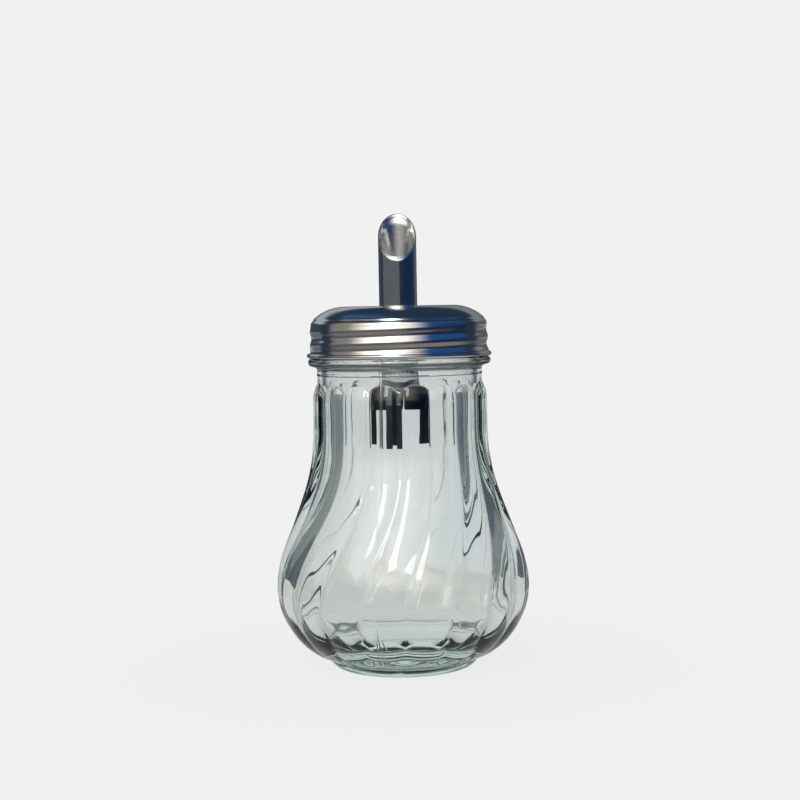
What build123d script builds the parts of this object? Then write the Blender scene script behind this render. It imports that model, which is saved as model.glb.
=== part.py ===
from build123d import *
import os
from math import atan2, cos, pi, radians, sin

# Sugar dispenser: ribbed glass jar, screwed steel cap, pouring tube and metering head.
# Millimetres, +Z up, origin at the centre of the foot's resting plane, the spout's mouth faces -Y.

# ---- Overall sizes ----
total_height = 160.0
body_diameter = 89.0

# ---- Glass jar ----
bulge_height = 28.5  # height of the widest place
bowl_radius = 26.3  # round of the jar's lower side
foot_diameter = 53.0
foot_height = 3.6
foot_ring_diameter = 43.6  # outer edge of the ring that it rests on
foot_swell = 0.7  # how far the foot's side swells out of a straight slant
punt_depth = 1.1  # hollow under the foot
punt_diameter = 38.4
floor_thickness = 11.4
wall_thickness = 3.0  # at the bottom of a valley on the bulge
flare_height = 87.0  # where the shoulder begins to widen, going down
flare_power = 1.22
rib_count = 18
rib_depth = 1.5
rib_stand = 1.6  # how far the ribs stand proud of the neck
rib_top_height = 99.5
rib_arch_height = 5.2
rib_twist = 19.0
rib_twist_top = 74.0
rib_twist_bottom = 22.0
rib_phase = 0.5  # a valley's angle from the front, on the bulge
neck_bore = 52.0
neck_wall = 3.0
bead_height = 108.0
bead_stand = 3.1
bead_width = 2.8
finish_wall = 3.4
lip_height = 120.7
lip_round = 0.9

# ---- Screw thread ----
thread_lead = 5.0
thread_height = 113.7  # middle of the cap's groove at +X
thread_gap = 0.15  # from a ridge's end to the lip, the curl or the seal
glass_thread_depth = 1.2
glass_thread_root = 2.3
glass_thread_crest = 1.1
glass_thread_rise = 2.8  # from the bead's top to the thread's first turn
cap_thread_depth = 0.7
cap_thread_root = 2.2
cap_thread_crest = 1.1

# ---- Cap ----
sheet = 0.4
cap_height = 127.4  # top of the flat panel
cap_clearance = 0.3  # between the glass thread's crest and the skirt
shoulder_width = 12.3  # from the flat panel to the skirt
shoulder_radius = 16.0
curl_radius = 0.8
curl_height = 110.3
curl_gap_angle = 80.0

# ---- Sealing ring ----
seal_thickness = 1.7
seal_inset = 0.6  # from the neck's bore to the ring's bore
seal_clearance = 0.1

# ---- Pouring tube ----
tube_diameter = 13.4
tube_wall = 0.7
bevel_drop = 16.4  # height from the bevel's low edge to its tip
tube_fit = 0.05  # radial play in the cap, the dome and the cage
tube_end = 91.0
holding_bead_width = 2.0
holding_bead_height = 1.2

# ---- Metering head ----
dome_diameter = 23.0
dome_top = 98.7
dome_rim = 93.0
dome_sheet = 0.5
dome_round = 3.4
cage_fit = 0.05
cage_wall = 1.1
cage_bottom = 77.8
window_top = 96.4  # the windows reach up into the dome's round edge
window_width = 25.5  # angle of one window
window_offset = 36.8  # angle from the front or the back to a window's middle
cage_turn = -3.2

# ---- Worked out from the sizes above ----
EPS = 0.01
bulge_radius = body_diameter / 2
bore_radius = neck_bore / 2
neck_radius = bore_radius + neck_wall
rib_top_radius = neck_radius + rib_stand
bead_radius = neck_radius + bead_stand
finish_radius = bore_radius + finish_wall
glass_thread_low = bead_height + bead_width / 2 + glass_thread_rise
glass_thread_high = lip_height - lip_round - glass_thread_root / 2 - thread_gap
glass_thread_radius = finish_radius + glass_thread_depth
cap_thread_low = curl_height + curl_radius + cap_thread_root / 2 + thread_gap
cap_thread_high = lip_height - cap_thread_root / 2 - thread_gap
skirt_inner = glass_thread_radius + cap_clearance
skirt_outer = skirt_inner + sheet
tube_radius = tube_diameter / 2
dome_radius = dome_diameter / 2
panel_radius = skirt_outer - shoulder_width


def shoulder_share(z):
    """How far the jar has widened at height z, 0 at the neck and 1 at the bulge."""
    share = (flare_height - z) / (flare_height - bulge_height)
    share = min(max(share, 0.0), 1.0)
    return (1 - cos(pi * share**flare_power)) / 2


def outer_radius(z):
    """Radius over the ribs at height z."""
    if z >= bulge_height:
        return rib_top_radius + (bulge_radius - rib_top_radius) * shoulder_share(z)
    drop = bulge_height - z
    return bulge_radius - bowl_radius + (bowl_radius**2 - drop**2) ** 0.5


def arch_drop(z):
    """How far the ribs have sunk at height z, where they end in arches on the neck."""
    rise = max(z - (rib_top_height - rib_arch_height), 0.0) / rib_arch_height
    return (rib_depth + EPS) * rise**2


def twist_angle(z):
    """Turn of the ribs at height z, from 0 at the neck down to the whole twist on the bowl."""
    share = (rib_twist_top - z) / (rib_twist_top - rib_twist_bottom)
    share = min(max(share, 0.0), 1.0)
    return -rib_twist * (1 - cos(pi * share)) / 2


def polar(radius, angle, z):
    """Point at an angle from +X, in degrees."""
    return (radius * cos(radians(angle)), radius * sin(radians(angle)), z)


def ribbed_section(z):
    """Closed outline of the ribs at height z: one arc per rib, with a crease between two ribs."""
    crest = outer_radius(z) - arch_drop(z)
    valley = crest - rib_depth
    pitch = 360 / rib_count
    first = -90 + rib_phase + rib_twist + twist_angle(z)
    arcs = []
    for rib in range(rib_count):
        start = first + rib * pitch
        low = polar(valley, start, z)
        high = polar(crest, start + pitch / 2, z)
        end = polar(valley, start + pitch, z)
        arcs.append(ThreePointArc(low, high, end).edge())
    return Wire(arcs)


def spaced(low, high, count):
    """Evenly spaced values from low to high."""
    return [low + (high - low) * step / (count - 1) for step in range(count)]


def turned(face):
    """Solid of revolution about the object's axis."""
    return revolve(face, axis=Axis.Z)


def section(*lines):
    """Face in the XZ plane bounded by lines, closed by a straight line along the axis if open."""
    return make_face(Plane.XZ * Curve(list(lines)))


def disc(radius, low, high):
    """Upright cylinder between two heights."""
    return Pos(0, 0, low) * Cylinder(radius, high - low, align=(Align.CENTER, Align.CENTER, Align.MIN))


def ring(inner, outer, low, high):
    """Upright ring between two heights."""
    return disc(outer, low, high) - disc(inner, low - 1, high + 1)


def helical_ridge(radius, inward, depth, root, crest, low, high, height):
    """Ridge of trapezoid section from low to high, on the helix that passes +X at a height.

    It is rooted a little below the wall that it stands on.
    """
    side = -1 if inward else 1
    below = 0.15
    slope = (root - crest) / 2 / depth
    foot = root / 2 + slope * below
    corners = [
        (-side * below, -foot),
        (side * depth, -crest / 2),
        (side * depth, crest / 2),
        (-side * below, foot),
    ]
    start = 360 * (low - height) / thread_lead
    helix = Edge.make_helix(thread_lead, high - low, radius)
    outline = Polyline(*[(radius + across, 0, up) for across, up in corners], close=True)
    ridge = sweep(make_face(outline), path=helix, is_frenet=True)
    return Pos(0, 0, low) * Rot(0, 0, start) * ridge


def jar_inside():
    """The jar's cavity: neck bore, shoulder, and a quarter round from the side to the floor."""
    side = bulge_radius - wall_thickness - rib_depth
    inner_bowl = bulge_height - floor_thickness
    centre = side - inner_bowl
    slant = inner_bowl * 0.5**0.5
    heights = spaced(bulge_height, flare_height, 9)
    curve = [(bore_radius + (side - bore_radius) * shoulder_share(z), z) for z in heights]
    shoulder = Spline(*curve, tangents=[(0, 1), (0, 1)])
    bowl = ThreePointArc(
        (centre, floor_thickness),
        (centre + slant, bulge_height - slant),
        (side, bulge_height),
    )
    top = lip_height + 1
    rest = Polyline(
        (bore_radius, flare_height),
        (bore_radius, top),
        (0, top),
        (0, floor_thickness),
        (centre, floor_thickness),
    )
    return turned(section(bowl, shoulder, rest))


def glass_foot():
    """Solid foot: a flat underside and a slanting side that swells a little."""
    low = foot_ring_diameter / 2
    top = foot_diameter / 2
    slant = ((top - low) ** 2 + foot_height**2) ** 0.5
    swollen = (
        (low + top) / 2 + foot_swell * foot_height / slant,
        foot_height / 2 - foot_swell * (top - low) / slant,
    )
    side = ThreePointArc((low, 0), swollen, (top, foot_height))
    rest = Polyline((top, foot_height), (0, foot_height), (0, 0), (low, 0))
    return turned(section(side, rest))


def glass_jar():
    """Ribbed jar, one piece of glass from its foot to its screw finish."""
    low = foot_height - 0.6
    heights = spaced(low, bulge_height, 8)
    heights += spaced(bulge_height, rib_top_height - rib_arch_height, 14)[1:]
    heights += spaced(rib_top_height - rib_arch_height, rib_top_height, 5)[1:]
    body = Solid.make_loft([ribbed_section(z) for z in heights])
    foot = glass_foot()
    neck = disc(neck_radius, rib_top_height - 20, bead_height)
    finish = disc(finish_radius, bead_height, lip_height)
    bead = turned(
        Plane.XZ
        * Pos(bead_radius - bead_width / 2, bead_height)
        * (Circle(bead_width / 2) + Pos(-bead_width, 0) * Rectangle(2 * bead_width, bead_width))
    )
    cavity = jar_inside()
    punt_radius = (punt_diameter**2 / 4 + punt_depth**2) / (2 * punt_depth)
    punt = Pos(0, 0, punt_depth - punt_radius) * Sphere(punt_radius)
    jar = body + foot + neck + finish + bead - cavity - punt
    circles = jar.edges().filter_by(GeomType.CIRCLE)
    lip = [edge for edge in circles if abs(edge.center().Z - lip_height) < EPS]
    jar = fillet(lip, lip_round)
    ridge = helical_ridge(
        finish_radius,
        False,
        glass_thread_depth,
        glass_thread_root,
        glass_thread_crest,
        glass_thread_low,
        glass_thread_high,
        thread_height - thread_lead / 2,
    )
    return jar + ridge


def cap_envelope(inset):
    """Everything inside the cap's outer face, moved in by inset."""
    top = cap_height - inset
    arc = shoulder_radius - inset
    side = skirt_outer - inset
    centre = cap_height - shoulder_radius
    rise = (arc**2 - (side - panel_radius) ** 2) ** 0.5
    half = atan2(side - panel_radius, rise) / 2
    shoulder = ThreePointArc(
        (panel_radius, top),
        (panel_radius + arc * sin(half), centre + arc * cos(half)),
        (side, centre + rise),
    )
    rest = Polyline(
        (side, centre + rise),
        (side, curl_height),
        (0, curl_height),
        (0, top),
        (panel_radius, top),
    )
    return turned(section(shoulder, rest))


def screw_cap():
    """Spun sheet cap: flat panel, round shoulder, rolled thread and a curled rim."""
    shell = cap_envelope(0) - cap_envelope(sheet)
    ridge = helical_ridge(
        skirt_inner,
        True,
        cap_thread_depth,
        cap_thread_root,
        cap_thread_crest,
        cap_thread_low,
        cap_thread_high,
        thread_height,
    )
    groove = helical_ridge(
        skirt_outer,
        True,
        cap_thread_depth,
        cap_thread_root - sheet,
        cap_thread_crest - sheet,
        cap_thread_low,
        cap_thread_high,
        thread_height,
    )
    curl_centre = skirt_inner + curl_radius
    gap = Polyline(
        (0, 0),
        (-2 * curl_radius, 0),
        (-2 * curl_radius, 2 * curl_radius),
        (2 * curl_radius * cos(radians(180 - curl_gap_angle)), 2 * curl_radius),
        close=True,
    )
    curl = Circle(curl_radius) - Circle(curl_radius - sheet) - make_face(gap)
    rim = turned(Plane.XZ * Pos(curl_centre, curl_height) * curl)
    hole = disc(tube_radius + tube_fit, cap_height - 2 * sheet, cap_height + 1)
    return shell + ridge + rim - groove - hole


def sealing_ring():
    """Soft ring on the jar's lip, under the cap's shoulder."""
    outer = skirt_inner - seal_clearance
    blank = ring(bore_radius + seal_inset, outer, lip_height, lip_height + seal_thickness)
    return blank & cap_envelope(sheet + seal_clearance)


def pour_tube():
    """Straight tube with a slanting mouth and a rolled bead that holds it under the cap's panel."""
    tube = ring(tube_radius - tube_wall, tube_radius, tube_end, total_height)
    low = total_height - bevel_drop
    reach = tube_radius * 3
    slope = bevel_drop / tube_diameter
    cutter_outline = Polyline(
        (-reach, low + slope * (tube_radius - reach)),
        (reach, low + slope * (tube_radius + reach)),
        (-reach, low + slope * (tube_radius + reach)),
        close=True,
    )
    cutter = extrude(Plane.YZ * make_face(cutter_outline), reach, both=True)
    under_panel = cap_height - sheet
    bead = ring(
        tube_radius - tube_wall / 2,
        tube_radius + holding_bead_width,
        under_panel - holding_bead_height,
        under_panel,
    )
    rim = [edge for edge in bead.edges().filter_by(GeomType.CIRCLE) if edge.radius > tube_radius + EPS]
    bead = fillet(rim, holding_bead_height / 3)
    return tube - cutter + bead


def dome_envelope(inset):
    """Everything inside the metering dome's outer face, moved in by inset."""
    solid = disc(dome_radius - inset, dome_rim - 1, dome_top - inset)
    edge = solid.edges().group_by(Axis.Z)[-1]
    return fillet(edge, dome_round - inset) & disc(dome_radius, dome_rim, dome_top)


def window_cut(height):
    """Four wedges from below the cage up to a height, two in front and two behind."""
    half = window_width / 2
    reach = 2 * dome_radius
    wedges = []
    for side in (-90, 90):
        for offset in (-window_offset, window_offset):
            middle = side + cage_turn + offset
            wedge = Polyline(
                (0, 0),
                polar(reach, middle - half, 0)[:2],
                polar(reach, middle + half, 0)[:2],
                close=True,
            )
            wedges.append(Pos(0, 0, cage_bottom - 1) * extrude(make_face(wedge), height - cage_bottom + 1))
    return wedges


def metering_dome():
    """Pressed steel dome around the tube's lower end, with its rim open at the windows."""
    dome = dome_envelope(0) - dome_envelope(dome_sheet)
    return dome - disc(tube_radius + tube_fit, dome_rim, dome_top + 1) - window_cut(window_top)


def metering_cage():
    """Plastic cage: a hub under the dome's top, and four legs that stand out flush below its rim."""
    inside = dome_envelope(dome_sheet + cage_fit)
    hub = ring(tube_radius + tube_fit, dome_radius, window_top, dome_top) & inside
    roots = ring(dome_radius - cage_wall, dome_radius, dome_rim, window_top) & inside
    legs = ring(dome_radius - cage_wall, dome_radius, cage_bottom, dome_rim)
    return hub + (roots + legs - window_cut(window_top))


parts = {
    "glass_jar": glass_jar,
    "sealing_ring": sealing_ring,
    "screw_cap": screw_cap,
    "pour_tube": pour_tube,
    "metering_dome": metering_dome,
    "metering_cage": metering_cage,
}
os.makedirs("parts", exist_ok=True)
for name, make in parts.items():
    solid = make()
    print(name, len(solid.solids()), round(solid.volume, 1), "mm3")
    export_step(solid, f"parts/{name}.step")
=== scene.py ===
# %% [markdown]
# # A glass sugar dispenser
# A pear-shaped jar of pressed glass with twisted ribs, a spun steel screw cap, a slanted pouring
# tube and a metering head that hangs inside. The measured model is the frame: it says where each
# piece is and how the cap turns. Here every piece gets its visible surface and its finish.

# %% Load the measured frame
import math

import bpy
import numpy as np
from mathutils import Matrix, Vector


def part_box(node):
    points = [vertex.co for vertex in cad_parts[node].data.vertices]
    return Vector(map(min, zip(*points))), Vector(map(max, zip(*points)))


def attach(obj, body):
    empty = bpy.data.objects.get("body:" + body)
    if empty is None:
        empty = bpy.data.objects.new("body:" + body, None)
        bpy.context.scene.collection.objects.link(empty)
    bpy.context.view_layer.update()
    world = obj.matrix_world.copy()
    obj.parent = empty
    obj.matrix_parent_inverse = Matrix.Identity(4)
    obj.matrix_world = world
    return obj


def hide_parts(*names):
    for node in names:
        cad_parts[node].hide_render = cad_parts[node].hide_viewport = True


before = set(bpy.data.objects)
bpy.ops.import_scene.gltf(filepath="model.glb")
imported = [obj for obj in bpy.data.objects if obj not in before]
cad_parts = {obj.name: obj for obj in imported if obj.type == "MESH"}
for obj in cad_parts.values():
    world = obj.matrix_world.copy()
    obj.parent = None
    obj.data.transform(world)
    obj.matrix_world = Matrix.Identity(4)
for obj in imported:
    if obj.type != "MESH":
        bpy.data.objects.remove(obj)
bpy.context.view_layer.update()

# %% [markdown]
# ## Sizes
# Shapes are worked out in millimetres and put into meshes in metres. The outer sizes come from
# the frame's boxes, so a piece always fills the space that its measured node holds. The small
# shapes inside those boxes, such as a bead or a groove, are named here.

# %% Sizes from the frame
MM = 0.001


def node_size(node):
    """Lowest height, highest height and largest radius of a node in millimetres."""
    low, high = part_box(node)
    reach = max(high[0] - low[0], high[1] - low[1]) / 2
    return low[2] / MM, high[2] / MM, reach / MM


_, LIP_HEIGHT, BULGE_RADIUS = node_size("glass_jar")
_, CAP_HEIGHT, RIM_RADIUS = node_size("screw_cap")
TUBE_FOOT, TUBE_TIP, BEAD_REACH = node_size("pour_tube")
DOME_RIM, DOME_TOP, DOME_RADIUS = node_size("metering_dome")
CAGE_FOOT, _, _ = node_size("metering_cage")
SEAL_LOW, SEAL_HIGH, SEAL_RADIUS = node_size("sealing_ring")
print(f"jar {LIP_HEIGHT:.1f} x {2 * BULGE_RADIUS:.1f} mm, tube tip at {TUBE_TIP:.1f} mm")

# %% Small sizes of the jar, in millimetres
BULGE_HEIGHT = 28.5
BOWL_RADIUS = 26.3
FOOT_RADIUS = 26.5
FOOT_HEIGHT = 3.6
FOOT_RING_RADIUS = 21.8
FOOT_SWELL = 0.7
PUNT_RADIUS = 19.2
PUNT_DEPTH = 1.1
FLOOR_HEIGHT = 11.4
WALL = 4.5
FLARE_HEIGHT = 87.0
FLARE_POWER = 1.22
BORE_RADIUS = 26.0
NECK_RADIUS = 29.0
RIB_COUNT = 18
RIB_DEPTH = 1.1
RIB_POWER = 2.6
RIB_TOP_RADIUS = 30.6
RIB_TOP_HEIGHT = 99.5
ARCH_HEIGHT = 5.2
TWIST = 19.0
TWIST_TOP = 74.0
TWIST_BOTTOM = 22.0
RIB_PHASE = 0.5
VALLEY_ROUND = 0.09
SEAM_HEIGHT = 103.6
GLASS_BEAD_RADIUS = 32.1
GLASS_BEAD_HEIGHT = 108.0
GLASS_BEAD_ROUND = 1.4
FINISH_RADIUS = 29.4
LIP_ROUND = 0.9
GLASS_THREAD_LOW = 112.2
GLASS_THREAD_HIGH = 118.4
GLASS_THREAD_DEPTH = 1.2
GLASS_THREAD_WIDTH = 2.5
STIPPLE_COUNT = 60
STIPPLE_DEPTH = 0.3
POINTS_PER_RIB = 16

# %% Small sizes of the steel and plastic pieces, in millimetres
THREAD_LEAD = 5.0
THREAD_HEIGHT = 113.7
SHEET = 0.4
SKIRT_RADIUS = 31.3
PANEL_RADIUS = 19.0
SHOULDER_RADIUS = 16.0
CURL_RADIUS = 0.8
CURL_HEIGHT = 110.3
GROOVE_LOW = 110.2
GROOVE_HIGH = 120.4
GROOVE_DEPTH = 0.5
GROOVE_WIDTH = 4.9
GROOVE_RUN = 1.6
SHOULDER_LEAN = 0.4
CURL_LEAN = 0.3
TUBE_RADIUS = 6.7
TUBE_WALL = 0.7
BEVEL_DROP = 16.4
DOME_SHEET = 0.5
DOME_ROUND = 3.4
DOME_DRAFT = 0.4
DOME_BEND_START = 9
DOME_BEND_LIFT = 0.4
CAGE_WALL = 1.1
ROOT_WALL = 0.4
CAGE_PLAY = 0.08
WINDOW_TOP = 96.4
WINDOW_WIDTH = 25.5
WINDOW_OFFSET = 36.8
CAGE_TURN = -3.2

# %% [markdown]
# ## Surfaces from grids
# Every piece here is a surface of revolution, or nearly one. Such a surface is a grid: one row
# for each point of the profile and one column for each angle. Working the whole grid out as one
# array keeps the shape's formula in sight, and a rib or a thread is one more term in the radius.
# A profile that runs anticlockwise, seen with the axis at the left, gives faces that point out.

# %% Grid helpers


def smooth(share):
    """Smooth step: 0 below 0, 1 above 1, and 3 t squared minus 2 t cubed between."""
    share = np.clip(share, 0.0, 1.0)
    return share * share * (3 - 2 * share)


def arc(centre, radius, start, end, count):
    """Points on a circle in the profile plane, from a start angle to an end angle in degrees."""
    turn = np.radians(np.linspace(start, end, count))
    return np.column_stack([centre[0] + radius * np.cos(turn), centre[1] + radius * np.sin(turn)])


def swollen(start, end, swell, count):
    """Arc from start to end: radius (h squared + s squared) / 2 s, for half a chord h and a swell s.

    It swells to the right of its direction.
    """
    start, end = np.array(start), np.array(end)
    half = np.linalg.norm(end - start) / 2
    radius = (half**2 + swell**2) / (2 * swell)
    turn = np.linspace(-1, 1, count)[:, None] * 2 * math.atan2(swell, half)
    along = (end - start) / (2 * half)
    out = np.array([along[1], -along[0]])
    return (start + end) / 2 + radius * np.sin(turn) * along + (radius * np.cos(turn) - radius + swell) * out


def line(start, end, count):
    """Evenly spaced points on a straight line, both ends included."""
    return np.linspace(start, end, count)


def angles(columns):
    """Column angles in degrees from +X, anticlockwise seen from above."""
    return np.arange(columns) * 360.0 / columns


def spin(radius, height, columns):
    """Grid of points: x = r cos a, y = r sin a, z = height. Radius and height may be grids."""
    turn = np.radians(angles(columns))[None, :]
    radius = np.broadcast_to(radius, (radius.shape[0], columns))
    height = np.broadcast_to(height, (height.shape[0], columns))
    return np.stack([radius * np.cos(turn), radius * np.sin(turn), height], axis=-1)


def grid_piece(name, points, closed_loop, sharp=40.0):
    """Mesh from a grid in millimetres. Columns wrap round.

    Rows wrap round too where closed_loop is true; otherwise the first and last rows are poles,
    and each pole is one point with a fan of triangles. The UV map holds the share of a turn and
    the length along the profile in metres.
    """
    rows, columns, _ = points.shape
    index = np.arange(rows * columns).reshape(rows, columns)
    if not closed_loop:
        index[0, :] = index[0, 0]
        index[-1, :] = index[-1, 0]
    lower = index if closed_loop else index[:-1]
    upper = np.roll(index, -1, axis=0) if closed_loop else index[1:]
    right = np.roll(lower, -1, axis=1)
    far = np.roll(upper, -1, axis=1)
    quads = np.stack([lower, right, far, upper], axis=-1).reshape(-1, 4)
    length = np.linalg.norm(np.diff(points[:, 0], axis=0, append=points[:1, 0]), axis=1)
    along = np.concatenate([[0.0], np.cumsum(length)]) * MM
    across = np.arange(columns + 1) / columns
    strips = lower.shape[0]
    u = np.stack([across[:-1], across[1:], across[1:], across[:-1]], axis=-1)
    u = np.broadcast_to(u, (strips, columns, 4))
    v_low, v_high = along[:strips, None], along[1 : strips + 1, None]
    v = np.stack([v_low, v_low, v_high, v_high], axis=-1)
    v = np.broadcast_to(v, (strips, columns, 4))
    uv = np.stack([u, v], axis=-1).reshape(-1, 4, 2)

    used, flat = np.unique(quads, return_inverse=True)
    quads = flat.reshape(-1, 4)
    twin = np.roll(quads, -1, axis=1) == quads
    corners = np.where(twin.any(axis=1), 3, 4)
    keep = ~twin
    loops = quads[keep]
    uv = uv[keep]
    starts = np.concatenate([[0], np.cumsum(corners)[:-1]])
    mesh = bpy.data.meshes.new(name)
    mesh.vertices.add(len(used))
    mesh.vertices.foreach_set("co", (points.reshape(-1, 3)[used] * MM).ravel())
    mesh.loops.add(len(loops))
    mesh.loops.foreach_set("vertex_index", loops.astype(np.int32))
    mesh.polygons.add(len(corners))
    mesh.polygons.foreach_set("loop_start", starts.astype(np.int32))
    mesh.update(calc_edges=True)
    mesh.polygons.foreach_set("use_smooth", np.ones(len(corners), dtype=bool))
    layer = mesh.uv_layers.new(name="around_and_along")
    layer.data.foreach_set("uv", uv.astype(np.float32).ravel())
    mesh.set_sharp_from_angle(angle=math.radians(sharp))
    mesh.validate()
    piece = bpy.data.objects.new(name, mesh)
    bpy.context.scene.collection.objects.link(piece)
    print(f"{name}: {len(used)} points, {len(corners)} faces")
    return piece


def fit(piece, body, slot, *nodes):
    """The piece moves with a body and stands for its measured nodes; the slot argument is not used."""
    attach(piece, body)
    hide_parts(*nodes)


# %% [markdown]
# ## The glass jar
# The real jar is blown into, or pressed in, a two-part mould that gives it its ribs, its foot and
# its screw finish in one go, while its inside is left smooth. One could sculpt ribs onto a lathe
# shape; a formula is exact instead. The radius over the ribs follows the jar's outline, and each
# rib is a convex lobe: the radius falls with a power of the distance from the rib's middle. A square
# would be a plain arc; a cube is flatter on top and steeper in the crease, as a mould leaves it.

# %% The jar's outline and ribs


def shoulder_share(height):
    """How far the jar has widened: (1 - cos(pi t to the power p)) / 2, t from neck to bulge."""
    share = np.clip((FLARE_HEIGHT - height) / (FLARE_HEIGHT - BULGE_HEIGHT), 0.0, 1.0)
    return (1 - np.cos(np.pi * share**FLARE_POWER)) / 2


def rib_crest(height):
    """Radius over the ribs: an arc below the bulge, and the shoulder's blend above it."""
    drop = np.clip(BULGE_HEIGHT - height, 0.0, BOWL_RADIUS)
    bowl = BULGE_RADIUS - BOWL_RADIUS + np.sqrt(BOWL_RADIUS**2 - drop**2)
    shoulder = RIB_TOP_RADIUS + (BULGE_RADIUS - RIB_TOP_RADIUS) * shoulder_share(height)
    return np.where(height < BULGE_HEIGHT, bowl, shoulder)


def rib_twist(height):
    """Turn of the ribs in degrees: straight on the neck, then a smooth twist down the bulge."""
    share = np.clip((TWIST_TOP - height) / (TWIST_TOP - TWIST_BOTTOM), 0.0, 1.0)
    return TWIST * (1 - (1 - np.cos(np.pi * share)) / 2)


def rib_fall(height, angle):
    """How far the surface lies below the crest: a power of the share from middle to valley.

    The distance to the valley goes through a hyperbola, which rounds the bottom of the crease.
    """
    pitch = 360 / RIB_COUNT
    turn = (angle + 90 - RIB_PHASE - rib_twist(height)) / pitch
    valley = 1 - np.abs(2 * (turn - np.floor(turn)) - 1)
    rounded = np.sqrt(valley**2 + VALLEY_ROUND**2) - VALLEY_ROUND
    rounded = rounded / (math.hypot(1, VALLEY_ROUND) - VALLEY_ROUND)
    fade = 0.55 + 0.45 * smooth((height - FOOT_HEIGHT) / 12.0)
    return RIB_DEPTH * fade * (1 - rounded) ** RIB_POWER


def ribbed_radius(height, angle):
    """Radius of the ribbed wall: crest less fall, sunk into the neck where the ribs end."""
    rise = np.clip((height - RIB_TOP_HEIGHT + ARCH_HEIGHT) / ARCH_HEIGHT, 0.0, None)
    wall = rib_crest(height) - rib_fall(height, angle) - (RIB_DEPTH + 0.05) * rise**2
    soften = 0.05
    step = (wall - NECK_RADIUS) / soften
    above = np.where(step > 30, step, np.log1p(np.exp(np.clip(step, -60, 30))))
    blend = NECK_RADIUS + soften * above
    return np.where(height > FLARE_HEIGHT, blend, wall)


# %% [markdown]
# The jar's screw finish carries one raised thread. A helix is a height that grows with the angle,
# so the thread is a ridge where a point's height is near the helix's height at its angle, turn by
# turn. The foot's resting ring is stippled in the mould, so that the hot jar doesn't mark there.

# %% Thread, foot and the jar's whole profile


def helix_ridge(height, angle, lead, level, low, high, width, run):
    """From 0 to 1: a rounded ridge about the helix level + lead x angle / 360, run out at its ends."""
    ridge = np.zeros(np.broadcast(height, angle).shape)
    for lap in range(-3, 4):
        turn = angle + 360 * lap
        middle = level + lead * turn / 360
        across = np.abs(height - middle) / (width / 2)
        shape = np.where(across < 1, (1 + np.cos(np.pi * np.clip(across, 0, 1))) / 2, 0.0)
        ends = smooth((middle - low) / run) * smooth((high - middle) / run)
        ridge = np.maximum(ridge, shape * ends)
    return ridge


def jar_profile():
    """Rows of the jar's profile, as radius, height and how much each rule applies to a row."""
    punt_round = (PUNT_RADIUS**2 + PUNT_DEPTH**2) / (2 * PUNT_DEPTH)
    reach = np.linspace(0, PUNT_RADIUS, 12)
    punt = np.column_stack([reach, PUNT_DEPTH - punt_round + np.sqrt(punt_round**2 - reach**2)])
    ring = line((PUNT_RADIUS + 0.3, 0.0), (FOOT_RING_RADIUS, 0.0), 16)
    foot = swollen(ring[-1], (FOOT_RADIUS - 0.05, FOOT_HEIGHT - 0.15), FOOT_SWELL, 18)[1:]
    base = np.vstack([punt, ring, foot, [(FOOT_RADIUS - 0.15, FOOT_HEIGHT + 0.02)]])

    steps = np.radians(np.linspace(70.5, 0, 42))
    bowl = BULGE_HEIGHT - BOWL_RADIUS * np.sin(steps)
    ribs = np.concatenate(
        [bowl, np.linspace(BULGE_HEIGHT, 92.0, 66)[1:], np.linspace(92.0, 100.4, 34)[1:]]
    )
    ribbed = np.column_stack([rib_crest(ribs), ribs])

    seam = np.linspace(SEAM_HEIGHT - 0.5, SEAM_HEIGHT + 0.5, 9)
    seam = np.column_stack([NECK_RADIUS + 0.16 * np.exp(-(((seam - SEAM_HEIGHT) / 0.16) ** 2)), seam])
    bead_centre = (GLASS_BEAD_RADIUS - GLASS_BEAD_ROUND, GLASS_BEAD_HEIGHT)
    under = np.array([(NECK_RADIUS, 105.0), (NECK_RADIUS + 0.1, 105.75), (NECK_RADIUS + 0.45, 106.2)])
    bead = arc(bead_centre, GLASS_BEAD_ROUND, -88, 88, 20)
    over = line((FINISH_RADIUS + 0.35, 109.5), (FINISH_RADIUS, 110.0), 3)
    finish = line((FINISH_RADIUS, 110.2), (FINISH_RADIUS, LIP_HEIGHT - LIP_ROUND), 34)
    lip = arc((FINISH_RADIUS - LIP_ROUND, LIP_HEIGHT - LIP_ROUND), LIP_ROUND, 0, 90, 7)[1:]
    inner_lip = arc((BORE_RADIUS + LIP_ROUND, LIP_HEIGHT - LIP_ROUND), LIP_ROUND, 90, 180, 7)
    neck = np.vstack([under, bead, over, finish, lip, inner_lip])

    inner_bowl = BULGE_HEIGHT - FLOOR_HEIGHT
    side = BULGE_RADIUS - WALL
    bore = line((BORE_RADIUS, LIP_HEIGHT - 2.5), (BORE_RADIUS, FLARE_HEIGHT), 5)
    heights = np.linspace(FLARE_HEIGHT - 1.5, BULGE_HEIGHT, 34)
    shoulder = np.column_stack([BORE_RADIUS + (side - BORE_RADIUS) * shoulder_share(heights), heights])
    inside = arc((side - inner_bowl, BULGE_HEIGHT), inner_bowl, -3, -84, 24)
    reach = np.linspace(inside[-1, 0] - 1.2, 0, 12)
    floor = np.column_stack([reach, FLOOR_HEIGHT + 0.5 * smooth(1 - reach / inside[-1, 0])])
    cavity = np.vstack([bore, shoulder, inside, floor])
    parts = [base, ribbed, seam, neck, cavity]
    kinds = np.concatenate([np.full(len(part), number) for number, part in enumerate(parts)])
    return np.vstack(parts), kinds


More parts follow.
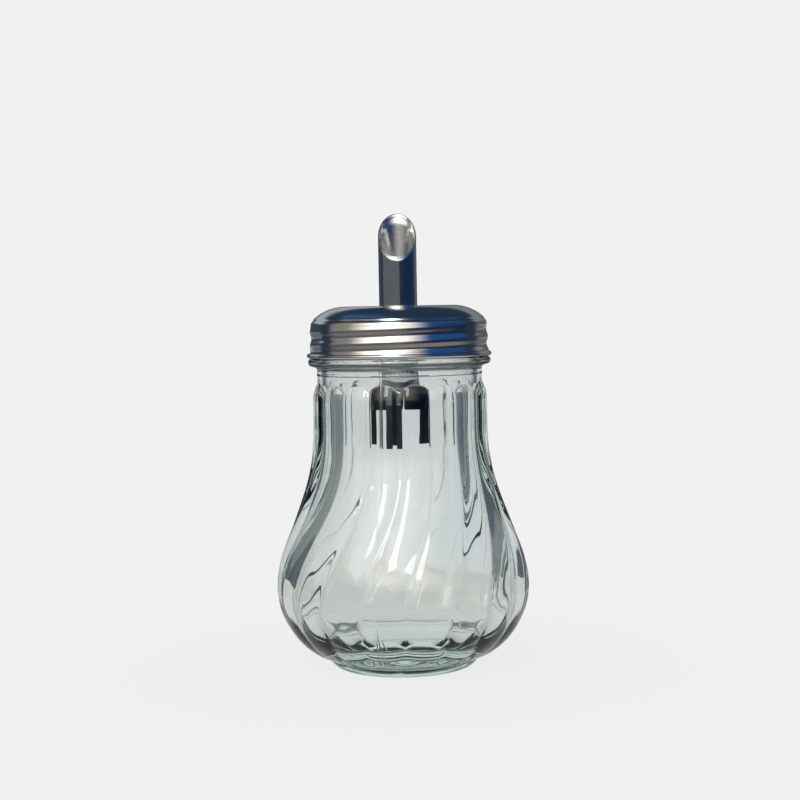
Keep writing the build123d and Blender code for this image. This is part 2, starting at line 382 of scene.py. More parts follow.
def glass_jar():
    """The jar's grid: profile rows, with ribs, thread and stippling added to their own rows."""
    columns = RIB_COUNT * POINTS_PER_RIB
    profile, kinds = jar_profile()
    angle = angles(columns)[None, :]
    radius = np.repeat(profile[:, :1], columns, axis=1)
    height = np.repeat(profile[:, 1:], columns, axis=1)
    ribbed = kinds == 1
    radius[ribbed] = ribbed_radius(height[ribbed], angle)
    finish = (kinds == 3) & (profile[:, 1] > 109.5) & (profile[:, 0] > BORE_RADIUS + 2)
    ends = (GLASS_THREAD_LOW, GLASS_THREAD_HIGH)
    level = THREAD_HEIGHT - THREAD_LEAD / 2
    thread = helix_ridge(height[finish], angle, THREAD_LEAD, level, *ends, GLASS_THREAD_WIDTH, 0.5)
    radius[finish] += GLASS_THREAD_DEPTH * thread
    ring = (kinds == 0) & (profile[:, 1] < 0.01) & (profile[:, 0] > PUNT_RADIUS + 0.2)
    across = (radius[ring] - PUNT_RADIUS) / (FOOT_RING_RADIUS - PUNT_RADIUS)
    around = np.abs(np.sin(np.radians(angle * STIPPLE_COUNT / 2)))
    height[ring] += STIPPLE_DEPTH * (around * np.abs(np.sin(across * np.pi * 2)))
    return grid_piece("jar_glass", spin(radius, height, columns), closed_loop=False, sharp=60)


jar = glass_jar()
fit(jar, "jar", "glass", "glass_jar")

# %% [markdown]
# ## The screw cap
# The real cap is spun and rolled from thin sheet: a flat panel, a round shoulder, a skirt with the
# thread rolled into it, and a raw edge curled out of the way. Its inside has the same shape as its
# outside, one sheet further in. So one profile is drawn along the outside, the groove moves it in,
# and the inside is the same line moved in by the sheet's thickness.

# %% The cap's grid


def offset_line(points, distance):
    """The line moved sideways, to the left of its direction, by a distance."""
    along = np.gradient(points, axis=0)
    along /= np.linalg.norm(along, axis=-1, keepdims=True)
    side = np.stack([-along[..., 1], along[..., 0]], axis=-1)
    return points + distance * side


def cap_outside():
    """The cap's outer line from the curl's free edge, round the curl, up and in to the hole."""
    curl_centre = (RIM_RADIUS - CURL_RADIUS, CURL_HEIGHT)
    curl = arc(curl_centre, CURL_RADIUS, 105, -170, 26)
    skirt = line((SKIRT_RADIUS, CURL_HEIGHT + 0.9), (SKIRT_RADIUS, 120.6), 62)
    centre = (PANEL_RADIUS, CAP_HEIGHT - SHOULDER_RADIUS)
    turn = math.degrees(math.acos((SKIRT_RADIUS - 0.25 - PANEL_RADIUS) / SHOULDER_RADIUS))
    edge_height = centre[1] + SHOULDER_RADIUS * math.sin(math.radians(turn))
    edge = np.array([(SKIRT_RADIUS, edge_height - 0.75), (SKIRT_RADIUS - 0.05, edge_height - 0.35)])
    shoulder = arc(centre, SHOULDER_RADIUS, turn, 90, 30)
    panel = line((PANEL_RADIUS - 0.8, CAP_HEIGHT), (TUBE_RADIUS + 0.05, CAP_HEIGHT), 12)
    return curl, np.vstack([skirt, edge, shoulder, panel])


def screw_cap():
    """Cap grid: the outer line with the rolled groove, then the inner line one sheet inside."""
    columns = 320
    curl, wall = cap_outside()
    angle = angles(columns)[None, :]
    ends = (GROOVE_LOW, GROOVE_HIGH)
    groove = helix_ridge(wall[:, 1:], angle, THREAD_LEAD, THREAD_HEIGHT, *ends, GROOVE_WIDTH, GROOVE_RUN)
    on_skirt = smooth((wall[:, 0] - SKIRT_RADIUS + 1.6) / 1.0)
    lean = SHOULDER_LEAN * smooth((wall[:, 1] - 118.0) / 3.6)
    lean -= CURL_LEAN * smooth((113.6 - wall[:, 1]) / 2.6)
    sunk = (GROOVE_DEPTH * groove + lean[:, None]) * on_skirt[:, None]
    curl_centre = np.array([RIM_RADIUS - CURL_RADIUS, CURL_HEIGHT])
    curl_inner = curl_centre + (curl - curl_centre) * (CURL_RADIUS - SHEET) / CURL_RADIUS
    wall_inner = offset_line(wall, SHEET)
    outer = np.repeat(wall[:, None, :], columns, axis=1)
    inner = np.repeat(wall_inner[:, None, :], columns, axis=1)
    outer[:, :, 0] -= sunk
    inner[:, :, 0] -= sunk
    outer_curl = np.repeat(curl[:, None, :], columns, axis=1)
    inner_curl = np.repeat(curl_inner[:, None, :], columns, axis=1)
    # the sheet's outer face at the skirt becomes the curl's inner face, because it curls outwards
    loop = np.concatenate([inner_curl[:-1], outer, inner[::-1], outer_curl[::-1]], axis=0)
    return grid_piece("cap_steel", spin(loop[..., 0], loop[..., 1], columns), closed_loop=True, sharp=50)


cap = screw_cap()
fit(cap, "lid", "steel", "screw_cap")

# %% [markdown]
# ## The pouring tube
# A drawn steel tube, cut at a slant so that the sugar runs off a point, with its cut edge just
# broken. Under the cap it has a rolled bead that holds it. A slanted cut is simple on a grid: the
# top row's height depends on its angle, and the rows below share out what is left.

# %% The tube's grid


def pour_tube():
    """Tube grid: outer wall up to the slanted cut, over the rounded edge and down the bore."""
    columns = 128
    angle = np.radians(angles(columns))
    cut = TUBE_TIP - BEVEL_DROP * (1 - np.sin(angle)) / 2
    bore = TUBE_RADIUS - TUBE_WALL
    cut_inner = TUBE_TIP - BEVEL_DROP * (1 - np.sin(angle) * bore / TUBE_RADIUS) / 2
    bead_top = CAP_HEIGHT - SHEET
    bead_low = bead_top - 1.2
    below = [(TUBE_RADIUS, TUBE_FOOT), (TUBE_RADIUS, TUBE_FOOT + 0.3), (TUBE_RADIUS, bead_low - 0.6)]
    bead = [(TUBE_RADIUS + 0.3, bead_low - 0.1), (TUBE_RADIUS + 1.2, bead_low)]
    bead += [tuple(p) for p in arc((BEAD_REACH - 0.45, bead_low + 0.45), 0.45, -90, 0, 5)]
    bead += [(BEAD_REACH, bead_top - 0.3), (BEAD_REACH - 0.3, bead_top), (TUBE_RADIUS + 0.05, bead_top)]
    base = np.array(below + bead + [(TUBE_RADIUS, bead_top + 0.1), (TUBE_RADIUS, CAP_HEIGHT + 0.1)])
    radius = [np.full(columns, r) for r in base[:, 0]]
    height = [np.full(columns, z) for z in base[:, 1]]
    for share in np.linspace(0.05, 1, 18):
        radius.append(np.full(columns, TUBE_RADIUS))
        height.append(CAP_HEIGHT + (cut - 0.12 - CAP_HEIGHT) * share)
    for share, lift in ((0.08, -0.02), (0.2, 0.0), (0.35, 0.0), (0.5, -0.05)):
        radius.append(np.full(columns, TUBE_RADIUS - TUBE_WALL * share))
        height.append(cut + (cut_inner - cut) * share + lift)
    for share in np.linspace(0, 1, 60) ** 1.5:
        fall = (cut_inner - 0.25 - TUBE_FOOT) * share
        radius.append(bore + TUBE_WALL * 0.45 * (1 - smooth(fall / 2.5)))
        height.append(cut_inner - 0.25 - fall)
    grid = spin(np.array(radius), np.array(height), columns)
    return grid_piece("tube_steel", grid, closed_loop=True, sharp=35)


tube = pour_tube()
fit(tube, "lid", "steel", "pour_tube")

# %% [markdown]
# ## The metering head
# A pressed steel dome closes the top of the metering head, and a dark plastic cage hangs from it.
# Sugar fills the head through the four open windows between the cage's legs. The dome is another
# turned profile. The cage is not: its legs are blocks bent round the axis, so each is a small grid
# of its own, with its corners broken by a bevel.

# %% The windows' angles, in degrees from +X
front_and_back = np.array([[-90.0], [90.0]]) + CAGE_TURN
window_middles = front_and_back + np.array([-WINDOW_OFFSET, WINDOW_OFFSET])
window_middles = np.sort(np.mod(window_middles.ravel(), 360))
print("windows at", np.round(window_middles, 1), "degrees, each", WINDOW_WIDTH, "wide")

# %% [markdown]
# A notch in a turned sheet needs no cutting tool. Each column of the grid starts at its own place
# on the profile: at the rim between the windows, and further up inside a window. Two columns
# stand close together at each side of a window, and the faces between them are its upright edge.

# %% The dome's grid


def walked(points, start, count):
    """Points at even steps along a line, from a start length to its end, one column per start."""
    step = np.linalg.norm(np.diff(points, axis=0), axis=1)
    length = np.concatenate([[0.0], np.cumsum(step)])
    place = start[None, :] + (length[-1] - start[None, :]) * np.linspace(0, 1, count)[:, None]
    return np.stack([np.interp(place, length, points[:, 0]), np.interp(place, length, points[:, 1])], axis=-1)


def metering_dome():
    """Dome grid: outside from the rim or a window's top up to the tube, then back inside."""
    centre = (DOME_RADIUS - DOME_ROUND - DOME_DRAFT, DOME_TOP - DOME_ROUND)
    hole = TUBE_RADIUS + 0.05
    edges = np.concatenate([window_middles + side * WINDOW_WIDTH / 2 for side in (-1, 1)])
    turn = np.sort(np.concatenate([angles(160), edges - 0.15, edges + 0.15]))
    gap = np.abs((turn[:, None] - window_middles[None, :] + 180) % 360 - 180).min(axis=1)
    in_window = gap < WINDOW_WIDTH / 2
    arc_start = math.degrees(math.asin((WINDOW_TOP - centre[1]) / DOME_ROUND))
    lines = []
    for inset in (0.0, DOME_SHEET):
        bend = arc(centre, DOME_ROUND - inset, DOME_BEND_START, 90, 40)
        lines.append(np.vstack([[(DOME_RADIUS - inset, DOME_RIM)], bend, [(hole, DOME_TOP - inset)]]))
    bent = math.radians(arc_start - DOME_BEND_START)
    start = centre[1] + DOME_BEND_LIFT - DOME_RIM + bent * DOME_ROUND
    inner_start = start - bent * DOME_SHEET
    outer = walked(lines[0], np.where(in_window, start, 0.0), 30)
    inner = walked(lines[1], np.where(in_window, inner_start, 0.0), 24)
    loop = np.concatenate([outer, inner[::-1]], axis=0)
    turn = np.radians(turn)[None, :]
    grid = np.stack([loop[..., 0] * np.cos(turn), loop[..., 0] * np.sin(turn), loop[..., 1]], axis=-1)
    return grid_piece("dome_steel", grid, closed_loop=True, sharp=50)


dome = metering_dome()
fit(dome, "lid", "steel", "metering_dome")

# %% [markdown]
# The cage's legs hang below the piers of the dome's rim, flush with its side, and a thinner root
# behind each of them holds it in the dome. A hub under the dome's top guides the tube.

# %% The cage's grids


def bent_block(start, end, inner, outer, low, high):
    """Points and faces of a closed block bent round the axis: angle by section, with end caps."""
    count = max(int(abs(end - start) / 3), 4)
    turn = np.radians(np.linspace(start, end, count))
    corners = np.array([(inner, low), (outer, low), (outer, high), (inner, high)])
    points = np.stack(
        [
            corners[None, :, 0] * np.cos(turn)[:, None],
            corners[None, :, 0] * np.sin(turn)[:, None],
            np.broadcast_to(corners[None, :, 1], (count, 4)),
        ],
        axis=-1,
    ).reshape(-1, 3)
    index = np.arange(count * 4).reshape(count, 4)
    right = np.roll(index, -1, axis=1)
    quads = np.stack([index[:-1], right[:-1], right[1:], index[1:]], axis=-1).reshape(-1, 4)
    return points, np.vstack([quads[:, ::-1], index[:1], index[-1:, ::-1]])


def joined(name, blocks):
    """One piece from several closed blocks: each block's faces count on from the points so far."""
    sizes = [len(points) for points, _ in blocks]
    firsts = np.concatenate([[0], np.cumsum(sizes)[:-1]])
    points = np.vstack([points for points, _ in blocks])
    faces = np.vstack([faces + first for (_, faces), first in zip(blocks, firsts)])
    mesh = bpy.data.meshes.new(name)
    mesh.from_pydata((points * MM).tolist(), [], faces.tolist())
    mesh.polygons.foreach_set("use_smooth", np.ones(len(faces), dtype=bool))
    piece = bpy.data.objects.new(name, mesh)
    bpy.context.scene.collection.objects.link(piece)
    print(f"{name}: {len(points)} points, {len(faces)} faces")
    return piece


def soften_edges(piece, width):
    """A narrow bevel breaks the moulded edges, as a bevel modifier with two segments."""
    bevel = piece.modifiers.new("broken_edges", "BEVEL")
    bevel.width = width * MM
    bevel.segments = 2
    bevel.limit_method = "ANGLE"
    bevel.angle_limit = math.radians(50)
    bevel.harden_normals = True


def cage_legs():
    """A leg flush with the dome's side below each pier of its rim, and a root inside the dome."""
    root = DOME_RADIUS - DOME_SHEET - DOME_DRAFT - CAGE_PLAY
    inner = DOME_RADIUS - CAGE_WALL
    root_inner = min(inner, root - ROOT_WALL)
    blocks = []
    for number, middle in enumerate(window_middles):
        start = middle + WINDOW_WIDTH / 2
        end = start + (window_middles[(number + 1) % 4] - middle) % 360 - WINDOW_WIDTH
        blocks.append(bent_block(start, end, inner, DOME_RADIUS, CAGE_FOOT, DOME_RIM - 0.03))
        blocks.append(bent_block(start + 0.5, end - 0.5, root_inner, root, DOME_RIM - 0.4, WINDOW_TOP + 0.2))
    return joined("cage_legs", blocks)


cage = cage_legs()
soften_edges(cage, 0.1)
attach(cage, "lid")
hub_bend = (DOME_RADIUS - DOME_ROUND - DOME_DRAFT, DOME_TOP - DOME_ROUND)
hub_round = arc(hub_bend, DOME_ROUND - DOME_SHEET - CAGE_PLAY, 24, 88, 8)
hub_profile = np.vstack(
    [
        (TUBE_RADIUS + 0.06, WINDOW_TOP),
        (hub_round[0, 0] - 0.1, WINDOW_TOP),
        hub_round,
        (TUBE_RADIUS + 0.06, hub_round[-1, 1]),
    ]
)
hub = grid_piece("cage_hub", spin(hub_profile[:, :1], hub_profile[:, 1:], 96), closed_loop=True)
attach(hub, "lid")
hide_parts("metering_cage")

# %% [markdown]
# ## The sealing ring
# A soft ring sits on the jar's lip, under the cap's shoulder. It hardly shows, but it closes the
# gap that light would otherwise leak through under the cap.

# %% The ring's grid
seal_profile = np.vstack(
    [
        arc((BORE_RADIUS + 0.9, SEAL_LOW + 0.3), 0.3, 180, 270, 4),
        arc((SEAL_RADIUS - 0.3, SEAL_LOW + 0.3), 0.3, 270, 360, 4),
        [(SEAL_RADIUS, SEAL_HIGH - 0.9), (SEAL_RADIUS - 0.9, SEAL_HIGH - 0.05)],
        [(SEAL_RADIUS - 1.2, SEAL_HIGH), (BORE_RADIUS + 0.7, SEAL_HIGH)],
    ]
)
seal = grid_piece("seal_ring", spin(seal_profile[:, :1], seal_profile[:, 1:], 128), closed_loop=True)
fit(seal, "seal", "seal", "sealing_ring")

# %% [markdown]
# ## Finishes
# Each finish is a small node tree. What is the same all over sits on the shader's own sockets;
# noise, worn edges and bump come in by links. Patterns on turned steel read the piece's UV map,
# which runs round and along the profile, so that its lines follow the way the sheet was spun.

# %% Material helpers


def new_finish(name):
    """Empty node tree with a Principled shader; returns material, tree and shader."""
    material = bpy.data.materials.new(name)
    material.use_nodes = True
    tree = material.node_tree
    shader = tree.nodes["Principled BSDF"]
    return material, tree, shader


def add(tree, kind, **sockets):
    """New node with its input sockets set by name, linked where a value is another socket."""
    node = tree.nodes.new(kind)
    for name, value in sockets.items():
        socket = node.inputs[name.replace("_", " ")] if isinstance(name, str) else node.inputs[name]
        if isinstance(value, bpy.types.NodeSocket):
            tree.links.new(value, socket)
        else:
            socket.default_value = value
    return node


def maths(tree, operation, first, second=0.0):
    """One maths node; either value may be a socket."""
    node = tree.nodes.new("ShaderNodeMath")
    node.operation = operation
    for socket, value in zip(node.inputs, (first, second)):
        if isinstance(value, bpy.types.NodeSocket):
            tree.links.new(value, socket)
        else:
            socket.default_value = value
    return node.outputs[0]


def ramp(tree, value, low, high, start, end, smoothly=True):
    """The value mapped from low..high to start..end, held at both ends."""
    node = tree.nodes.new("ShaderNodeMapRange")
    node.interpolation_type = "SMOOTHSTEP" if smoothly else "LINEAR"
    tree.links.new(value, node.inputs["Value"])
    for name, number in (("From Min", low), ("From Max", high), ("To Min", start), ("To Max", end)):
        node.inputs[name].default_value = number
    return node.outputs["Result"]


def noise(tree, vector, scale, detail=2.0, rough=0.5):
    """Noise between 0 and 1 on a vector."""
    node = add(tree, "ShaderNodeTexNoise", Vector=vector, Scale=scale, Detail=detail, Roughness=rough)
    return node.outputs["Fac"]


def stretched(tree, vector, scale):
    """The vector scaled by three factors."""
    node = add(tree, "ShaderNodeMapping", Vector=vector)
    node.inputs["Scale"].default_value = scale
    return node.outputs["Vector"]


def tinted(tree, factor, first, second):
    """Colour between two colours."""
    node = tree.nodes.new("ShaderNodeMix")
    node.data_type = "RGBA"
    tree.links.new(factor, node.inputs["Factor"])
    node.inputs[6].default_value = (*first, 1)
    node.inputs[7].default_value = (*second, 1)
    return node.outputs[2]


def bump(tree, height, strength, distance, below=None):
    """Bump node in metres; below is another bump's normal."""
    node = add(tree, "ShaderNodeBump", Height=height, Strength=strength, Distance=distance)
    if below is not None:
        tree.links.new(below, node.inputs["Normal"])
    return node.outputs["Normal"]


# %% [markdown]
# Pressed glass is clear with a little green in it from iron, which only shows where light has a
# long way through. That is absorption in the volume, not a surface colour. Its surface is never
# quite flat: the mould chills it into slow ripples, and the mould's joint leaves a fine line.

# %% Glass
MOULD_LINE = -13


def glass_finish():
    """Clear glass: transmission, a green absorption in the volume, ripples and a mould line."""
    material, tree, shader = new_finish("pressed_glass")
    place = tree.nodes.new("ShaderNodeTexCoord").outputs["Object"]
    shader.inputs["Base Color"].default_value = (0.985, 1.0, 0.99, 1)
    shader.inputs["IOR"].default_value = 1.51
    shader.inputs["Transmission Weight"].default_value = 1.0
    split = add(tree, "ShaderNodeSeparateXYZ", Vector=place)
    haze = ramp(tree, noise(tree, place, 60.0, 3.0), 0.35, 0.75, 0.0, 0.02)
    worn = ramp(tree, split.outputs["Z"], 0.1055, 0.1075, 0.0, 0.10)
    tree.links.new(maths(tree, "ADD", haze, worn), shader.inputs["Roughness"])
    ripple = noise(tree, place, 110.0, 1.0)
    fine = noise(tree, stretched(tree, place, (1, 1, 0.35)), 300.0, 1.0)
    normal = bump(tree, ripple, 0.5, 0.00014)
    normal = bump(tree, fine, 0.2, 0.000015, normal)
    along_x = maths(tree, "MULTIPLY", split.outputs["X"], math.cos(math.radians(MOULD_LINE)))
    along_y = maths(tree, "MULTIPLY", split.outputs["Y"], math.sin(math.radians(MOULD_LINE)))
    away = maths(tree, "ABSOLUTE", maths(tree, "ADD", along_x, along_y))
    mark = ramp(tree, away, 0.0, 0.0003, 1.0, 0.0)
    normal = bump(tree, mark, 0.6, 0.00012, normal)
    tree.links.new(normal, shader.inputs["Normal"])
    absorb = tree.nodes.new("ShaderNodeVolumeAbsorption")
    absorb.inputs["Color"].default_value = (0.0, 0.74, 0.36, 1)
    absorb.inputs["Density"].default_value = 6.0
    tree.links.new(absorb.outputs[0], tree.nodes["Material Output"].inputs["Volume"])
    return material


# %% [markdown]
# The steel is bright, not perfect. Spinning leaves faint lines round the cap, drawing leaves lines
# along the tube, and handling leaves smears and specks. The smears change colour and roughness,
# the lines and specks are bump, and a tube is duller in its bore, where no tool polished it.

# %% Steel
BORE_ROUGHNESS = 0.26


def squared(tree, value):
    """The value times itself."""
    return maths(tree, "MULTIPLY", value, value)


def steel_finish(name, colour, rough, around, along, mottle, bore=None):
    """Bright steel with machining lines of a given number around and per metre along.

    Inside the radius bore, in millimetres, it is as dull as a tube's drawn inside.
    """
    material, tree, shader = new_finish(name)
    coords = tree.nodes.new("ShaderNodeTexCoord")
    shader.inputs["Metallic"].default_value = 1.0
    lines = noise(tree, stretched(tree, coords.outputs["UV"], (around, along, 1)), 1.0, 3.0, 0.6)
    smear = noise(tree, coords.outputs["Object"], 90.0, 3.0, 0.55)
    speck = noise(tree, coords.outputs["Object"], 900.0, 2.0, 0.6)
    clouded = ramp(tree, smear, 0.3, 0.7, 0.0, 0.6)
    colour_mix = maths(tree, "ADD", clouded, ramp(tree, speck, 0.55, 0.75, 0.0, 0.4))
    darker = tuple(c * 0.86 for c in colour)
    tree.links.new(tinted(tree, colour_mix, colour, darker), shader.inputs["Base Color"])
    level = ramp(tree, smear, 0.3, 0.75, rough * 0.7, rough * 1.35)
    level = maths(tree, "ADD", level, ramp(tree, lines, 0.4, 0.8, 0.0, rough * 0.35))
    if bore:
        place = add(tree, "ShaderNodeSeparateXYZ", Vector=coords.outputs["Object"])
        both = maths(tree, "ADD", squared(tree, place.outputs["X"]), squared(tree, place.outputs["Y"]))
        across = maths(tree, "SQRT", both)
        dull = ramp(tree, across, bore * MM, (bore + 0.1) * MM, BORE_ROUGHNESS, 0.0)
        level = maths(tree, "MAXIMUM", level, dull)
    tree.links.new(level, shader.inputs["Roughness"])
    normal = bump(tree, lines, 0.25, 0.00002)
    normal = bump(tree, speck, mottle, 0.00003, normal)
    tree.links.new(normal, shader.inputs["Normal"])
    return material


# %% [markdown]
# The cage is dark moulded plastic and the ring is pale soft plastic. Both share one recipe, with
# two near colours in cloudy patches and a fine grain.

# %% Plastic and rubber


def plain_finish(name, colour, lighter, rough, grain):
    """Moulded plastic or rubber: slight mottling, a fine grain and worn shine."""
    material, tree, shader = new_finish(name)
    place = tree.nodes.new("ShaderNodeTexCoord").outputs["Object"]
    cloud = noise(tree, place, 150.0, 4.0)
    fine = noise(tree, place, grain, 2.0)
    mottle = ramp(tree, cloud, 0.35, 0.7, 0.0, 1.0)
    tree.links.new(tinted(tree, mottle, colour, lighter), shader.inputs["Base Color"])
    tree.links.new(ramp(tree, cloud, 0.3, 0.7, rough * 0.8, rough * 1.2), shader.inputs["Roughness"])
    tree.links.new(bump(tree, fine, 0.3, 0.00003), shader.inputs["Normal"])
    return material


def paint(piece, material):
    """The piece's only material."""
    piece.data.materials.clear()
    piece.data.materials.append(material)


STEEL = (0.70, 0.71, 0.73)
paint(jar, glass_finish())
paint(cap, steel_finish("spun_steel", STEEL, 0.17, 14.0, 9000.0, 0.12))
paint(tube, steel_finish("drawn_steel", (0.78, 0.79, 0.80), 0.10, 260.0, 60.0, 0.6, TUBE_RADIUS - 0.14))
paint(dome, steel_finish("pressed_steel", STEEL, 0.09, 12.0, 6000.0, 0.10))
for piece in (cage, hub):
    paint(piece, plain_finish("dark_plastic", (0.012, 0.016, 0.030), (0.03, 0.035, 0.05), 0.35, 1800.0))
paint(seal, plain_finish("soft_seal", (0.62, 0.62, 0.58), (0.72, 0.71, 0.68), 0.55, 1200.0))
print("finishes:", sorted(material.name for material in bpy.data.materials))

# %% [markdown]
# ## Floor, surroundings and light
# Glass and polished steel show what is round them, so the surroundings are part of the look. The
# world is a plain pale studio where the camera sees it directly. What the pieces mirror and bend
# is a simple open-air set: pale low down behind, a deep blue sky, soft grey at one side in front
# and blue at the other, over a warm table top.

# %% World
world = bpy.data.worlds.new("studio")
bpy.context.scene.world = world
world.use_nodes = True
sky = world.node_tree
sky.nodes.clear()
PALE = (0.875, 0.875, 0.875)


def blend_colour(tree, factor, below, above):
    """Colour mix of two sockets or colours by a factor socket."""
    node = tree.nodes.new("ShaderNodeMix")
    node.data_type = "RGBA"
    tree.links.new(factor, node.inputs["Factor"])
    for number, value in ((6, below), (7, above)):
        if isinstance(value, bpy.types.NodeSocket):
            tree.links.new(value, node.inputs[number])
        else:
            node.inputs[number].default_value = (*value, 1)
    return node.outputs[2]


def direct_mirror(tree, ray):
    """Glossy x (1 - transmission): 1 for a ray that a surface mirrors, 0 for one through glass."""
    reflected = maths(tree, "SUBTRACT", 1.0, ray["Is Transmission Ray"])
    return maths(tree, "MULTIPLY", ray["Is Glossy Ray"], reflected)


direction = sky.nodes.new("ShaderNodeTexCoord").outputs["Generated"]
parts = add(sky, "ShaderNodeSeparateXYZ", Vector=direction)
side = maths(sky, "ARCTAN2", parts.outputs["X"], maths(sky, "MULTIPLY", parts.outputs["Y"], -1.0))
side = maths(sky, "MULTIPLY", side, 180 / math.pi)
lift = maths(sky, "MULTIPLY", maths(sky, "ARCSINE", parts.outputs["Z"]), 180 / math.pi)


def zone(value, low, high, below, above):
    """Colour that changes from one to another where a value goes from low to high."""
    return blend_colour(sky, ramp(sky, value, low, high, 0, 1), below, above)


ray = sky.nodes.new("ShaderNodeLightPath").outputs
mirrored = direct_mirror(sky, ray)
away = maths(sky, "ABSOLUTE", side)
NAVY = (0.016, 0.040, 0.075)
GREY_SKY = (0.17, 0.20, 0.21)
top = blend_colour(sky, mirrored, GREY_SKY, NAVY)
left = zone(lift, 5.0, 16.0, (0.12, 0.13, 0.14), (2.0, 1.86, 1.6))
left = zone(side, -35.0, -75.0, left, (0.30, 0.27, 0.235))
left = zone(lift, 3.0, 8.0, (0.12, 0.13, 0.14), left)
right = zone(lift, 3.0, 20.0, (0.009, 0.026, 0.07), (0.02, 0.085, 0.25))
sharp = zone(side, 5.0, 14.0, left, right)
gentle = zone(side, -5.0, 45.0, left, right)
front = zone(lift, 3.0, 6.0, sharp, gentle)
front = zone(lift, 38.0, 58.0, front, top)
patch = zone(side, -152.0, -149.0, NAVY, (0.045, 0.12, 0.25))
patch = zone(side, -112.0, -104.0, patch, NAVY)
patch = zone(lift, 44.0, 47.0, NAVY, patch)
slate = zone(side, -30.0, 30.0, (0.045, 0.07, 0.09), (0.12, 0.13, 0.14))
edge = zone(side, -30.0, 30.0, (0.48, 0.50, 0.50), (0.24, 0.26, 0.27))
edge = zone(lift, 12.0, 15.0, slate, edge)
edge = zone(lift, 27.0, 31.0, edge, patch)
below = zone(lift, -3.6, -3.2, (0.16, 0.17, 0.18), (0.58, 0.60, 0.59))
mirror_back = zone(lift, -2.2, -1.8, below, edge)
mirror_back = zone(away, 118.0, 126.0, (0.03, 0.045, 0.065), mirror_back)
glass_back = zone(lift, 24.0, 45.0, (0.70, 0.70, 0.72), (0.26, 0.29, 0.30))
glass_side = zone(away, 126.0, 131.0, (0.20, 0.22, 0.23), (0.07, 0.085, 0.105))
glass_back = zone(away, 148.0, 152.0, glass_side, glass_back)
back = blend_colour(sky, mirrored, glass_back, mirror_back)
around = zone(away, 95.0, 105.0, front, back)
studio = blend_colour(sky, ray["Is Camera Ray"], around, PALE)
background = add(sky, "ShaderNodeBackground", Color=studio, Strength=1.0)
sky.links.new(background.outputs[0], sky.nodes.new("ShaderNodeOutputWorld").inputs["Surface"])
print("world:", len(sky.nodes), "nodes")

# %% [markdown]
# The floor is one pale sheet. It glows as bright as the studio behind it, so that no edge shows,
# and close to the jar it also takes a little light and shadow. Polished steel mirrors it as a
# table top, pale close to the jar and warmer and darker beyond, which gives the thread its beige
# undersides. What mirrors or bends light past the table's end sees the world instead.

# %% Floor
FLOOR_REACH = 3.0
SHADOW_REACH = 0.16
NEAR_TABLE = 0.16
TABLE_REACH = 0.34
TABLE_EDGE = 0.21
floor_mesh = bpy.data.meshes.new("floor")
corners = [(-1, -1), (1, -1), (1, 1), (-1, 1)]
floor_mesh.from_pydata([(x * FLOOR_REACH, y * FLOOR_REACH, 0) for x, y in corners], [], [(0, 1, 2, 3)])
floor = bpy.data.objects.new("floor", floor_mesh)
bpy.context.scene.collection.objects.link(floor)
floor_material, floor_tree, floor_shader = new_finish("pale_floor")
floor_shader.inputs["Base Color"].default_value = (0.8, 0.8, 0.8, 1)
floor_shader.inputs["Roughness"].default_value = 0.9
floor_shader.inputs["Specular IOR Level"].default_value = 0.0
ray = floor_tree.nodes.new("ShaderNodeLightPath").outputs
mirrored = direct_mirror(floor_tree, ray)
place = floor_tree.nodes.new("ShaderNodeTexCoord").outputs["Object"]
depth = add(floor_tree, "ShaderNodeSeparateXYZ", Vector=place).outputs["Y"]
reach = floor_tree.nodes.new("ShaderNodeVectorMath")
reach.operation = "LENGTH"
floor_tree.links.new(place, reach.inputs[0])
reach = reach.outputs["Value"]
behind = ramp(floor_tree, depth, -0.02, 0.04, 0.0, 1.0)
far_table = blend_colour(floor_tree, behind, (0.26, 0.22, 0.18), (0.16, 0.17, 0.18))
how_far = ramp(floor_tree, reach, NEAR_TABLE, NEAR_TABLE + 0.02, 0, 1)
table_mirrored = blend_colour(floor_tree, how_far, (0.60, 0.61, 0.60), far_table)
floor_light = blend_colour(floor_tree, mirrored, (0.64, 0.63, 0.62), table_mirrored)
floor_light = blend_colour(floor_tree, ray["Is Camera Ray"], floor_light, PALE)
glow = add(floor_tree, "ShaderNodeEmission", Color=floor_light, Strength=1.0)
lit = floor_tree.nodes.new("ShaderNodeMixShader")
floor_tree.links.new(ramp(floor_tree, reach, 0.0, SHADOW_REACH, 0.92, 1.0), lit.inputs["Fac"])
floor_tree.links.new(floor_shader.outputs[0], lit.inputs[1])
floor_tree.links.new(glow.outputs[0], lit.inputs[2])
on_table = maths(
    floor_tree,
    "MULTIPLY",
    maths(floor_tree, "LESS_THAN", reach, TABLE_REACH),
    maths(floor_tree, "LESS_THAN", depth, TABLE_EDGE),
)
there = maths(floor_tree, "MAXIMUM", on_table, ray["Is Camera Ray"])
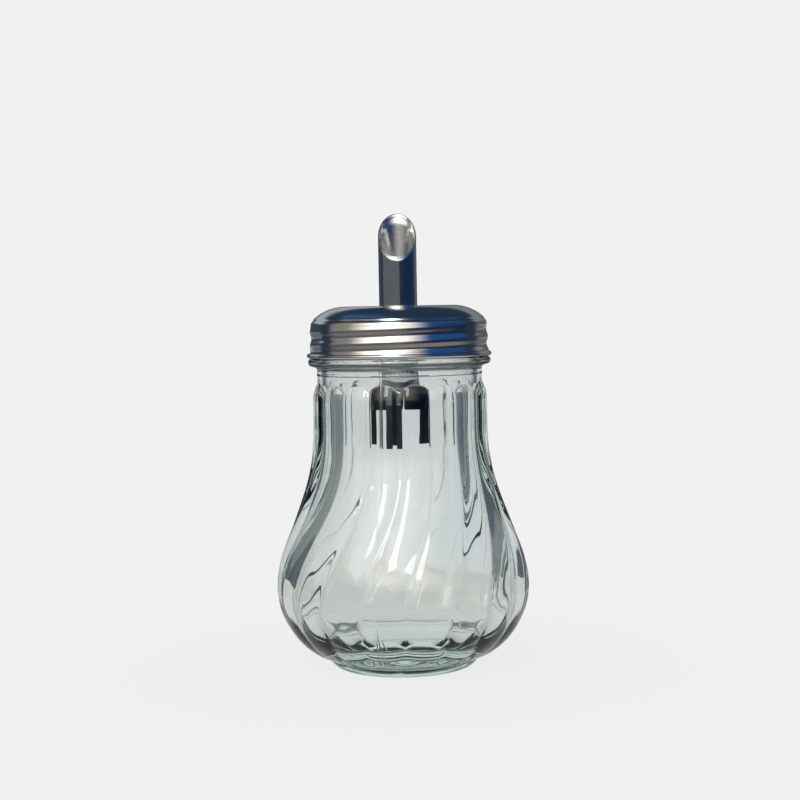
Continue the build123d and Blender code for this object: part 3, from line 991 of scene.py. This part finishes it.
mix = floor_tree.nodes.new("ShaderNodeMixShader")
floor_tree.links.new(there, mix.inputs["Fac"])
floor_tree.links.new(floor_tree.nodes.new("ShaderNodeBsdfTransparent").outputs[0], mix.inputs[1])
floor_tree.links.new(lit.outputs[0], mix.inputs[2])
floor_tree.links.new(mix.outputs[0], floor_tree.nodes["Material Output"].inputs["Surface"])
floor.data.materials.append(floor_material)
print(f"floor: {2 * FLOOR_REACH:.0f} m wide")

# %% [markdown]
# One tall soft light stands in front and a little to the left. The twisted ribs cut its
# reflection into slanted streaks down the jar.

# %% Soft light
key_data = bpy.data.lights.new("soft_key", "AREA")
key_data.energy = 6.0
key_data.shape = "RECTANGLE"
key_data.size = 0.30
key_data.size_y = 0.90
key = bpy.data.objects.new("soft_key", key_data)
key.location = (-0.22, -0.9, 0.9)
key.rotation_euler = (Vector((0, 0, 0.08)) - key.location).to_track_quat("-Z", "Y").to_euler()
bpy.context.scene.collection.objects.link(key)

# %% [markdown]
# ## Camera
# The camera stands level with the cap's panel, about 62 cm away, and looks slightly down at the
# jar's middle. It is turned by a degree about its own line of sight, as a hand-held one is.

# %% Camera
DISTANCE = 0.616
ROLL = -1.05
SENSOR_WIDTH = 36.0
FOCAL_LENGTH = 78.75
LOOK_HEIGHT = 0.0942
camera_data = bpy.data.cameras.new("camera")
camera_data.sensor_width = SENSOR_WIDTH
camera_data.lens = FOCAL_LENGTH
camera = bpy.data.objects.new("camera", camera_data)
bpy.context.scene.collection.objects.link(camera)
eye = Vector((0.0, -DISTANCE, (CAP_HEIGHT - 1.0) * MM))
look = Vector((0.0, 0.0, LOOK_HEIGHT))
facing = (look - eye).to_track_quat("-Z", "Y").to_matrix()
turned = facing @ Matrix.Rotation(math.radians(ROLL), 3, "Z")
camera.matrix_world = Matrix.Translation(eye) @ turned.to_4x4()
bpy.context.scene.camera = camera
bpy.context.scene.view_settings.view_transform = "Standard"
print(f"camera: {DISTANCE:.3f} m away, {FOCAL_LENGTH:.1f} mm lens")
